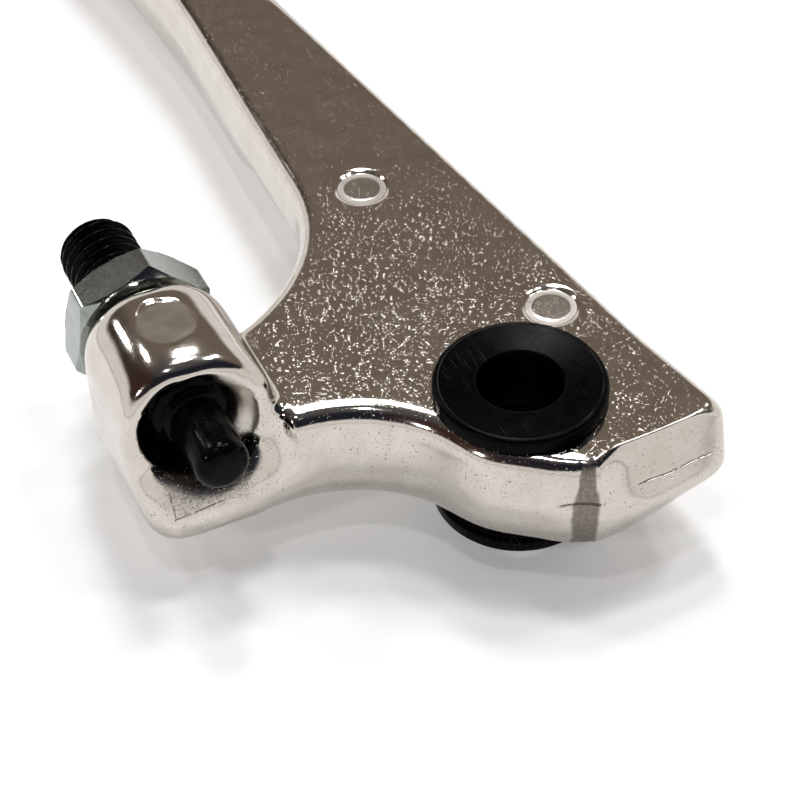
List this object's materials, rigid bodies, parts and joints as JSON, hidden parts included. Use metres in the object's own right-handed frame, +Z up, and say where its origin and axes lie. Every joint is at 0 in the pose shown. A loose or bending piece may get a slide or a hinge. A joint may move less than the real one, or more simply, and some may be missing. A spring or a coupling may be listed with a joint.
{
  "type": "clutch lever",
  "caption": "Left-hand motorcycle clutch lever: bushed pivot hub, raised boss with an axial dog-point adjuster screw and lock nut, long finger blade with a ball end.",
  "frame": {"origin": "centre of the pivot bore, halfway between the two bush flanges", "axes": "+Z up along the pivot axis; +X inboard, the way the adjuster's dog point pushes; +Y forward, away from the rider; the finger blade runs toward -X"},
  "size_m": [0.1773, 0.0393, 0.0182],
  "materials": {
    "polished_alloy": "polished and bright-plated die casting with fine pits and scratches",
    "bush_plastic": "black acetal, satin",
    "black_oxide_steel": "black oxide, glossy with oil",
    "zinc_steel": "bright zinc plate, slightly blue"
  },
  "bodies": {
    "lever": {"lever_casting": "polished_alloy", "upper_bush": "bush_plastic", "lower_bush": "bush_plastic"},
    "adjuster": {"adjuster_screw": "black_oxide_steel"},
    "nut": {"lock_nut": "zinc_steel"}
  },
  "joints": [
    {"name": "adjuster_travel", "type": "slide", "parent": "lever", "child": "adjuster", "axis": [1, 0, 0], "range_m": [-0.004, 0.005]},
    {"name": "lock_nut_turn", "type": "hinge", "parent": "lever", "child": "nut", "pos_m": [-0.01925, -0.0215, 0.0045], "axis": [1, 0, 0], "range_deg": [-180, 0]}
  ]
}
